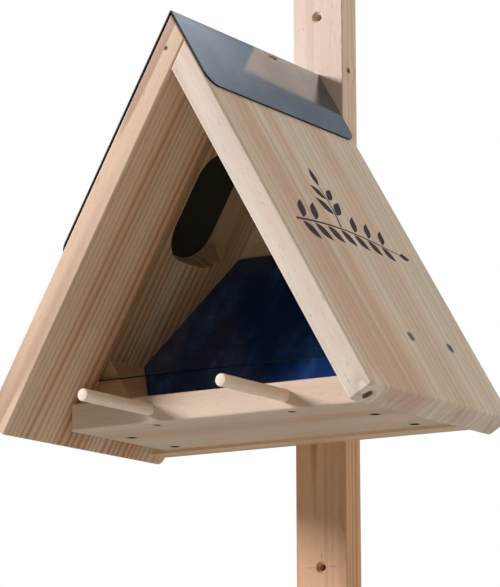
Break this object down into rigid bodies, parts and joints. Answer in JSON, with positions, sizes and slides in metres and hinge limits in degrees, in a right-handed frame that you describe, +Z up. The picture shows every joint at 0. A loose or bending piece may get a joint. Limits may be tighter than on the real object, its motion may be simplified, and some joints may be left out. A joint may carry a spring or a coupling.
{
  "type": "bird feeder",
  "caption": "Triangular wooden bird feeder with a clear seed window, sloping chute, two perches and a lift-off metal ridge cap, on a mounting batten.",
  "frame": {"origin": "centre of the batten's back face, midway between its two fixing holes", "axes": "+X across the front of the house, to the right roof board as seen from the front; +Y backwards, out of the batten's back face; +Z up along the batten"},
  "size_m": [0.2838, 0.2145, 0.41],
  "materials": {
    "pine": "planed, untreated",
    "birch_dowel": "smooth, untreated",
    "clear_acrylic": "clear, polished",
    "blue_coated_sheet": "gloss, dark blue",
    "roof_steel": "galvanised, satin",
    "screw_steel": "zinc plated"
  },
  "bodies": {
    "house": {"left_roof_board": "pine", "right_roof_board": "pine", "floor_board": "pine", "back_wall": "pine", "left_corner_strip": "pine", "right_corner_strip": "pine", "seed_window": "clear_acrylic", "seed_chute": "blue_coated_sheet", "left_perch": "birch_dowel", "right_perch": "birch_dowel", "mounting_batten": "pine", "left_strip_screws": "screw_steel", "right_strip_screws": "screw_steel", "left_floor_screws": "screw_steel", "right_floor_screws": "screw_steel", "left_back_screws": "screw_steel", "right_back_screw": "screw_steel", "back_floor_screws": "screw_steel", "ridge_screws": "screw_steel", "batten_screws": "screw_steel", "left_perch_screw": "screw_steel", "right_perch_screw": "screw_steel"},
    "cap": {"ridge_cap": "roof_steel"}
  },
  "joints": [
    {"name": "cap_lift", "type": "slide", "parent": "house", "child": "cap", "axis": [0, 0, 1], "range_m": [0, 0.17]}
  ]
}
